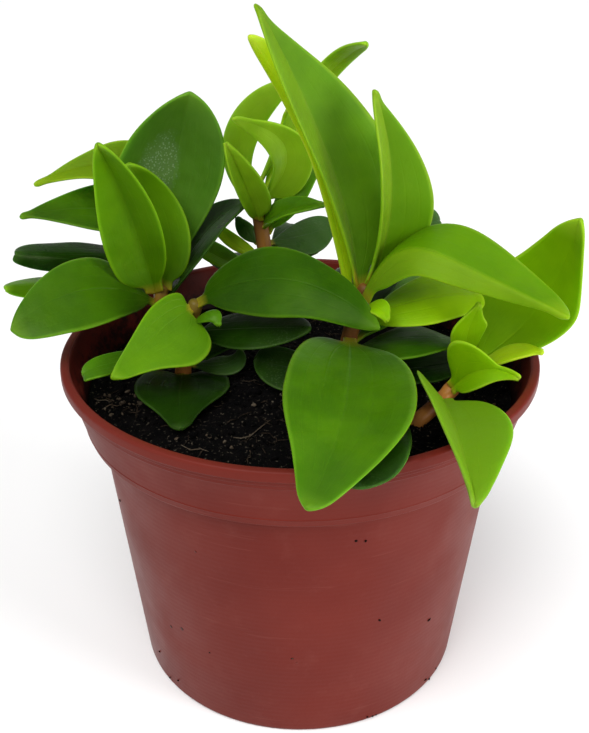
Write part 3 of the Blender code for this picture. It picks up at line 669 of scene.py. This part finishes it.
def stem_finish(name, greenest):
    """Fleshy stem: reddish brown, greener towards the top, finely streaked."""
    bark = Finish(name, specular=0.15)
    height = bark.add("ShaderNodeSeparateXYZ", {0: bark.place()}).outputs[2]
    climb = bark.add("ShaderNodeMapRange",
                     {"Value": height, "From Min": 0.062, "From Max": 0.076}).outputs[0]
    streaks = bark.blotches(140, 4, stretch=(1.0, 1.0, 0.25))
    body = bark.mix(bark.ramp(streaks, (0.4, 0.0), (0.6, 1.0)), STEM_RED, STEM_TAN)
    bark.colour(bark.mix(bark.times(climb, greenest), body, STEM_OLIVE))
    bark.bump(bark.blotches(700, 4, stretch=(1.0, 1.0, 0.3)), 0.0004, 0.5)
    bark.set(bark.shader, "Roughness", bark.ramp(bark.blotches(500, 3), (0.35, 0.3), (0.65, 0.5)))
    return bark.material


# Leaves

def bend(places, share):
    """The place at a share of the way along a bend through three places."""
    start, middle, end = (Vector(place) for place in places)
    handle = 2 * middle - (start + end) / 2
    return start * (1 - share) ** 2 + handle * 2 * share * (1 - share) + end * share ** 2


def bend_direction(places, share):
    """The direction of that bend at the same share."""
    start, middle, end = (Vector(place) for place in places)
    handle = 2 * middle - (start + end) / 2
    return ((handle - start) * (1 - share) + (end - handle) * share).normalized()


def share_at_height(places, height):
    """How far along a stem its axis reaches a height, found by halving."""
    low, high = 0.0, 1.0
    for _ in range(30):
        half = (low + high) / 2
        if bend(places, half).z < height:
            low = half
        else:
            high = half
    return low


def leaf_base(leaf):
    """Where a leaf's stalk starts: just under its stem's skin, or at the middle of the stem's end."""
    places = STEMS[leaf.stem]
    share = share_at_height(places, leaf.height)
    root = bend(places, share)
    if leaf.height >= places[2][2]:
        return root
    along = bend_direction(places, share)
    handle = 2 * Vector(leaf.middle) - (root + Vector(leaf.tip)) / 2
    aim = (handle - root).normalized()
    side = (aim - along * aim.dot(along)).normalized()
    radius = STEM_FOOT_RADIUS + (STEM_TIP_RADIUS - STEM_FOOT_RADIUS) * share
    return root + side * radius * STALK_SEAT


def half_width(outline, share):
    """The half width at a share of the leaf's length, as a part of the greatest half width."""
    blade = (share - STALK_SHARE) / (1 - STALK_SHARE)
    if not 0 < blade < 1:
        return 0.0
    peak = outline.rise / (outline.rise + outline.fall)
    most = peak ** outline.rise * (1 - peak) ** outline.fall
    return blade ** outline.rise * (1 - blade) ** outline.fall / most


def leaf_surface(leaf, manner):
    """A function that gives the leaf's place for a share of its length and a side from -1 to 1."""
    spine = (leaf_base(leaf), leaf.middle, leaf.tip)
    rise, fall = leaf.outline
    left_curve = manner.left_curve or leaf.outline
    right_curve = manner.right_curve or leaf.outline
    widest = STALK_SHARE + (1 - STALK_SHARE) * rise / (rise + fall)
    heading = bend_direction(spine, widest)

    def midrib(share):
        return bend(spine, share) + Vector((0, 0, manner.sway * sin(2 * pi * share)))

    left = Vector(leaf.left) - midrib(widest)
    right = Vector(leaf.right) - midrib(widest)
    length = (Vector(leaf.middle) - spine[0]).length + (Vector(leaf.tip) - Vector(leaf.middle)).length

    def least(share):
        """The least half width there, which keeps the stalk stout and the tip round."""
        to_tip = (1 - share) * length
        if share < 0.5:
            return manner.base
        if to_tip > TIP_ROUND:
            return TIP_ROUND
        return sqrt(max(TIP_ROUND ** 2 - (TIP_ROUND - to_tip) ** 2, 0.01))

    def place(share, side):
        turn = heading.rotation_difference(bend_direction(spine, share))
        pinched = 1 - manner.pinch * smooth(0.4, 0.78, share) * smooth(1.0, 0.84, share)
        left_width = half_width(left_curve, share) * pinched
        right_width = half_width(right_curve, share) * pinched
        to_left = turn @ left * max(left_width, least(share) / left.length)
        to_right = turn @ right * max(right_width, least(share) / right.length)
        across = (to_right - to_left) / 2 * side
        gutter = (to_right + to_left) / 2 * abs(side) ** manner.gutter
        lobe, width = (manner.left_lobe, left_width) if side < 0 else (manner.right_lobe, right_width)
        back = bend_direction(spine, share) * (lobe * length * width ** 0.6 * side ** 2 * (1 - share) ** 3)
        return midrib(share) + across + gutter - back

    return place


def eased(value):
    """Packs the cells of a leaf towards both of its ends."""
    return (1 - cos(pi * value)) / 2 * 0.6 + value * 0.4


def make_leaf(name, leaf, skins):
    """A fleshy blade: a bent grid, thick at the midrib and thin at the margin, then smoothed."""
    manner = MANNERS.get(name, Manner())
    place = leaf_surface(leaf, manner)
    shape = bmesh.new()
    bmesh.ops.create_grid(shape, x_segments=LENGTH_CELLS, y_segments=WIDTH_CELLS, size=1.0)
    blade = shape.loops.layers.uv.new("blade")
    thick = shape.verts.layers.deform.verify()
    for face in shape.faces:
        for loop in face.loops:
            across = -loop.vert.co.y
            loop[blade].uv = (eased((loop.vert.co.x + 1) / 2), (across + 1) / 2)
    quirk = Vector((len(name) * 3.1, leaf.height, leaf.tip[0]))
    breadth = Vector(leaf.right) - Vector(leaf.left)
    ripple = breadth.cross(Vector(leaf.tip) - Vector(leaf.middle)).normalized()
    for vertex in shape.verts:
        share = eased((vertex.co.x + 1) / 2)
        side = -vertex.co.y
        spot = place(share, side)
        wave = noise.noise(spot * 0.11 + quirk) * manner.wave * abs(side) * smooth(0.1, 0.4, share)
        spot += ripple * wave
        vertex[thick][0] = 1.0 - abs(side) ** 2.5
        vertex.co = spot * 0.001
    mesh = to_mesh(shape, "leaf_" + name)
    sheet = put_in_scene("sheet", mesh)
    sheet.vertex_groups.new(name="thick")
    flesh = sheet.modifiers.new("Flesh", "SOLIDIFY")
    flesh.thickness = LEAF_THICKNESS * 0.001
    flesh.offset = 0.0
    flesh.vertex_group = "thick"
    flesh.thickness_vertex_group = MARGIN_THICKNESS / LEAF_THICKNESS
    solid = worked_mesh(sheet, "leaf_" + name)
    bpy.data.objects.remove(sheet)
    under = solid.attributes.new("underside", "FLOAT", "POINT")
    for i in range(len(mesh.vertices), len(solid.vertices)):
        under.data[i].value = 1.0
    solid.materials.append(skins[LOOKS.get(name, leaf.slot)])
    soften(new_piece("blade_" + name, solid, "leaf_" + name, leaf.slot))


# Stems

def make_stem(name, places, finish):
    """A fleshy stem, a little swollen where leaves join it, with an uneven skin."""
    leaves = [share_at_height(places, leaf.height) for leaf in LEAVES.values() if leaf.stem == name]
    path = [Vector(places[0]) - Vector((0, 0, STEM_ROOT))]
    radii = [STEM_FOOT_RADIUS]
    for i in range(STEM_STEPS + 1):
        share = i / STEM_STEPS
        spot = bend(places, share)
        radius = STEM_FOOT_RADIUS + (STEM_TIP_RADIUS - STEM_FOOT_RADIUS) * share
        swelling = max([smooth(JOINT_REACH, 0.0, abs(share - joint)) for joint in leaves] + [0.0])
        path.append(spot)
        radii.append(radius * (0.94 + 0.16 * swelling + 0.05 * noise.noise(spot * 0.4)))
    ahead = bend_direction(places, 1.0)
    path += [path[-1] + ahead * 0.5, path[-1] + ahead * 0.8]
    radii += [radii[-1] * 0.8, radii[-1] * 0.35]
    shape = bmesh.new()
    tube(shape, path, radii, STEM_SIDES)
    bmesh.ops.recalc_face_normals(shape, faces=shape.faces)
    piece = new_piece("stalk_" + name, to_mesh(shape, "stalk_" + name), "stem_" + name, "stem")
    piece.data.materials.append(finish)
    soften(piece)


# Peat

def soil_edge():
    """The pot's inner radius at the height of the peat's edge."""
    foot_height, foot = RIM_TOP - BAND_HEIGHT + WALL, BAND_FOOT_RADIUS - WALL
    mouth_height, mouth = RIM_TOP - 0.5, RIM_RADIUS - LIP_FACE - 0.1
    return foot + (mouth - foot) * (SOIL_EDGE_TOP - foot_height) / (mouth_height - foot_height) - FIT


def ground(x, y):
    """Height of the peat's clods above its smooth dome, in millimetres."""
    spot = Vector((x, y, 0.0))
    clods = noise.fractal(spot * 0.16, 1.0, 2.1, 4) * 0.55
    crumbs = noise.fractal(spot * 0.75, 0.9, 2.2, 3) * 0.38
    return clods + crumbs - 0.35


def dome(distance):
    """Height of the smooth dome at a distance from the middle."""
    share = min(distance / soil_edge(), 1.0)
    return SOIL_CENTRE_TOP - (SOIL_CENTRE_TOP - SOIL_EDGE_TOP) * share ** 3


def make_soil(finish):
    """The body of the peat, with a lumpy top."""
    edge = soil_edge()
    rings = [edge * i / PEAT_RINGS for i in range(PEAT_RINGS + 1)]
    band_foot = RIM_TOP - BAND_HEIGHT
    profile = [(radius, dome(radius)) for radius in rings] + [
        (BAND_FOOT_RADIUS - WALL - FIT, band_foot + WALL), (BODY_TOP_RADIUS - WALL - FIT, band_foot - WALL),
        (BASE_RADIUS - WALL - FIT, FLOOR + FIT), (0.0, FLOOR + FIT)]
    shape = turned(profile, PEAT_STEPS)
    for vertex in shape.verts:
        x, y, z = vertex.co * 1000
        if z > SOIL_EDGE_TOP - 0.5:
            lift = ground(x, y) * smooth(edge, edge - 1.5, hypot(x, y))
            vertex.co.z += lift * 0.001
    soil = new_piece("peat", to_mesh(shape, "peat"), "soil", "peat")
    soil.data.materials.append(finish)


def on_peat(x, y):
    """A spot's height on the peat."""
    return dome(hypot(x, y)) + ground(x, y)


def free_spots(draw, count, reach, middle=(0.0, 0.0)):
    """Random spots on the peat, within reach of a middle."""
    for _ in range(count):
        distance = reach * sqrt(draw.random())
        angle = draw.uniform(0, 2 * pi)
        x = middle[0] + distance * cos(angle)
        y = middle[1] + distance * sin(angle)
        yield x, y, on_peat(x, y)


def make_crumbs(name, spots, least, most, draw, slot, finish):
    """Loose crumbs of peat on the surface or stuck to the pot."""
    shape = bmesh.new()
    for x, y, z in spots:
        size = least + (most - least) * draw.random() ** 3
        made = bmesh.ops.create_icosphere(shape, subdivisions=1, radius=size * 0.001)
        squeeze = Vector((draw.uniform(0.6, 1.5), draw.uniform(0.6, 1.3), draw.uniform(0.45, 0.9)))
        angle = draw.uniform(0, 2 * pi)
        turn = Matrix.Rotation(angle, 3, Vector((draw.random(), draw.random(), 1)).normalized())
        for vertex in made["verts"]:
            spot = turn @ (vertex.co * squeeze) * (1 + 0.4 * (draw.random() - 0.5))
            vertex.co = spot + mm(x, y, z + size * 0.25)
    piece = new_piece(name, to_mesh(shape, name), slot=slot)
    piece.data.materials.append(finish)


def lay_fibre(shape, path, radius):
    """Adds one fibre, thinner at both ends."""
    radii = [radius * 0.6] + [radius] * (len(path) - 2) + [radius * 0.4]
    tube(shape, path, radii, FIBRE_SIDES)


def make_fibres(name, kind, earths, laid=()):
    """Thin bent fibres and root hairs on the peat, some of them laid where the photograph shows them."""
    draw = Random(kind.seed)
    shape = bmesh.new()
    for spots in laid:
        lay_fibre(shape, [(x, y, on_peat(x, y) + LAID_FIBRE_LIFT) for x, y in spots], kind.radius)
    for x, y, _ in free_spots(draw, kind.count, soil_edge() - 3.0):
        heading = draw.uniform(0, 2 * pi)
        reach = kind.length * draw.uniform(0.4, 1.0)
        path = []
        for _ in range(FIBRE_STEPS + 1):
            x += cos(heading) * reach / FIBRE_STEPS
            y += sin(heading) * reach / FIBRE_STEPS
            heading += draw.uniform(-0.6, 0.6)
            if hypot(x, y) > soil_edge() - 1.0:
                break
            lift = 0.15 + draw.random() * 0.5
            path.append((x, y, on_peat(x, y) + lift))
        if len(path) > 3:
            lay_fibre(shape, path, kind.radius * draw.uniform(0.5, 1.0))
    bmesh.ops.recalc_face_normals(shape, faces=shape.faces)
    piece = new_piece(name, to_mesh(shape, name), slot="peat")
    piece.data.materials.append(earths[kind.earth])


# Pot

def fillet(corner, before, after, radius, steps=4):
    """Points that round a corner of a profile."""
    corner, before, after = Vector(corner), Vector(before), Vector(after)
    start = corner + (before - corner).normalized() * radius
    end = corner + (after - corner).normalized() * radius
    return [tuple(bend((start, (start + end) / 4 + corner / 2, end), i / steps)) for i in range(steps + 1)]


def pot_profile():
    """Radius and height round the wall's section: floor, inside, lip, band with its ridges, body, base."""
    band_top, band_foot = RIM_TOP - LIP_HEIGHT, RIM_TOP - BAND_HEIGHT
    corners = [
        ((0.0, FLOOR), 0),
        ((BASE_RADIUS - WALL - 0.4, FLOOR), 0.8),
        ((BODY_TOP_RADIUS - WALL, band_foot - WALL), 0.5),
        ((BAND_FOOT_RADIUS - WALL, band_foot + WALL), 0.5),
        ((RIM_RADIUS - LIP_FACE - 0.1, RIM_TOP - 0.3), 0.25),
        ((RIM_RADIUS - LIP_FACE + 0.3, RIM_TOP), 0.3),
        ((RIM_RADIUS, RIM_TOP), 0.55),
        ((RIM_RADIUS, band_top + 0.2), 0.3),
        ((RIM_RADIUS - LIP_OVERHANG, band_top - 0.1), 0.3),
    ]
    wall_top = (RIM_RADIUS - LIP_OVERHANG, band_top)
    fall = (BAND_FOOT_RADIUS - wall_top[0]) / (band_foot - wall_top[1])
    ridges = ((band_top - 1.0, 0.22), (band_top - 1.25, 0.0), (band_top - 1.9, 0.12), (band_top - 2.1, 0.0),
              (band_foot + 1.7, 0.0), (band_foot + 1.5, 0.14), (band_foot + 1.3, 0.0))
    for height, proud in ridges:
        corners.append(((wall_top[0] + fall * (height - wall_top[1]) + proud - 0.05, height), 0.05))
    corners += [
        ((BAND_FOOT_RADIUS, band_foot), 0.35),
        ((BODY_TOP_RADIUS, band_foot - 0.6), 0.4),
        ((BASE_RADIUS, 0.0), BASE_ROUND),
        ((0.0, 0.0), 0),
    ]
    points = []
    for i, (corner, radius) in enumerate(corners):
        spot = (*corner, 0.0)
        if not radius:
            points.append(corner)
            continue
        before, after = (*corners[i - 1][0], 0.0), (*corners[i + 1][0], 0.0)
        points += [place[:2] for place in fillet(spot, before, after, radius, 2 if radius < 0.1 else 4)]
    return points


def make_pot(finish):
    """The turned pot with its drain holes drilled."""
    shape = turned(pot_profile(), POT_STEPS)
    pot = new_piece("nursery_pot", to_mesh(shape, "nursery_pot"), "pot", "pot")
    pot.data.materials.append(finish)
    drill_shape = bmesh.new()
    for i in range(DRAIN_HOLES):
        angle = 2 * pi * (i + 0.5) / DRAIN_HOLES
        spot = Matrix.Translation(mm(DRAIN_CIRCLE * cos(angle), DRAIN_CIRCLE * sin(angle), 0))
        bmesh.ops.create_cone(drill_shape, cap_ends=True, segments=24, radius1=DRAIN_RADIUS * 0.001,
                              radius2=DRAIN_RADIUS * 0.001, depth=DRILL_DEPTH * 0.001, matrix=spot)
    drill = put_in_scene("drill", to_mesh(drill_shape, "drill"))
    cut = pot.modifiers.new("Drains", "BOOLEAN")
    cut.operation = "DIFFERENCE"
    cut.solver = "EXACT"
    cut.object = drill
    drilled = worked_mesh(pot, "nursery_pot")
    pot.modifiers.clear()
    pot.data = drilled
    bpy.data.objects.remove(drill)
    drilled.shade_smooth()


def wall_spots():
    """Places on the outside of the pot where a crumb of peat has stuck."""
    for angle, height in STUCK_CRUMBS:
        foot, top = (BASE_RADIUS, 0.0), (BODY_TOP_RADIUS, RIM_TOP - BAND_HEIGHT)
        if height > top[1]:
            foot, top = (BAND_FOOT_RADIUS, top[1]), (RIM_RADIUS - LIP_OVERHANG, RIM_TOP - LIP_HEIGHT)
        distance = foot[0] + (top[0] - foot[0]) * (height - foot[1]) / (top[1] - foot[1])
        yield distance * cos(radians(angle)), distance * sin(radians(angle)), height


# Studio

def make_floor():
    shape = bmesh.new()
    bmesh.ops.create_circle(shape, cap_ends=True, segments=64, radius=FLOOR_RADIUS)
    floor = put_in_scene("floor", to_mesh(shape, "floor"))
    paper = Finish("studio_floor", roughness=0.9, specular=0.1)
    paper.colour(FLOOR_WHITE)
    floor.data.materials.append(paper.material)


def make_light(name, kind, energy, heading):
    """A light that shines along a heading."""
    lamp = bpy.data.lights.new(name, kind)
    lamp.energy = energy
    light = put_in_scene(name, lamp)
    light.rotation_euler = Vector(heading).to_track_quat("-Z", "Y").to_euler()
    return light


def make_studio():
    """Soft daylight from above, a softbox at the right and an even white room."""
    make_floor()
    daylight = make_light("daylight", "SUN", DAYLIGHT, DAYLIGHT_HEADING)
    daylight.data.angle = DAYLIGHT_SPREAD
    softbox = make_light("softbox_side", "AREA", SOFTBOX_POWER, Vector(SOFTBOX_AIM) - Vector(SOFTBOX_PLACE))
    softbox.data.shape = "DISK"
    softbox.data.size = SOFTBOX_SIZE
    softbox.location = SOFTBOX_PLACE
    world = bpy.data.worlds.new("studio")
    bpy.context.scene.world = world
    world.use_nodes = True
    sky = world.node_tree.nodes["Background"]
    sky.inputs["Color"].default_value = (1, 1, 1, 1)
    sky.inputs["Strength"].default_value = ROOM_LIGHT


def make_camera():
    """The photograph's view: from a little higher than the tallest leaf, looking down into the pot."""
    lens = bpy.data.cameras.new("camera")
    lens.lens = CAMERA_LENS
    lens.clip_start = CAMERA_NEAR
    camera = put_in_scene("camera", lens)
    camera.location = CAMERA_PLACE
    camera.rotation_euler = CAMERA_TURN
    bpy.context.scene.camera = camera


def main():
    bpy.context.scene.view_settings.view_transform = "Standard"
    make_camera()
    make_studio()
    make_pot(pot_finish())
    earths = {name: peat_finish(name, *tones) for name, tones in EARTHS.items()}
    make_soil(earths["peat_earth"])
    draw = Random(CRUMB_SEED)
    for name, bits in LOOSE_BITS.items():
        spots = free_spots(draw, bits.count, bits.spread or soil_edge() - 1.0, bits.middle)
        make_crumbs(name, spots, bits.least, bits.most, draw, "peat", earths[bits.earth])
    make_crumbs("stuck_crumbs", wall_spots(), STUCK_LEAST, STUCK_MOST, draw, "pot", earths["peat_crumb"])
    make_fibres("peat_fibres", PEAT_FIBRES, earths)
    make_fibres("pale_fibres", PALE_FIBRES, earths, LAID_FIBRES)
    brown = stem_finish("brown_stem", BROWNEST)
    green = stem_finish("green_stem", GREENEST)
    for name, places in STEMS.items():
        make_stem(name, places, green if name in GREEN_STEMS else brown)
    skins = {look: leaf_finish(look + "_skin", colours) for look, colours in SKINS.items()}
    for name, leaf in LEAVES.items():
        make_leaf(name, leaf, skins)


main()
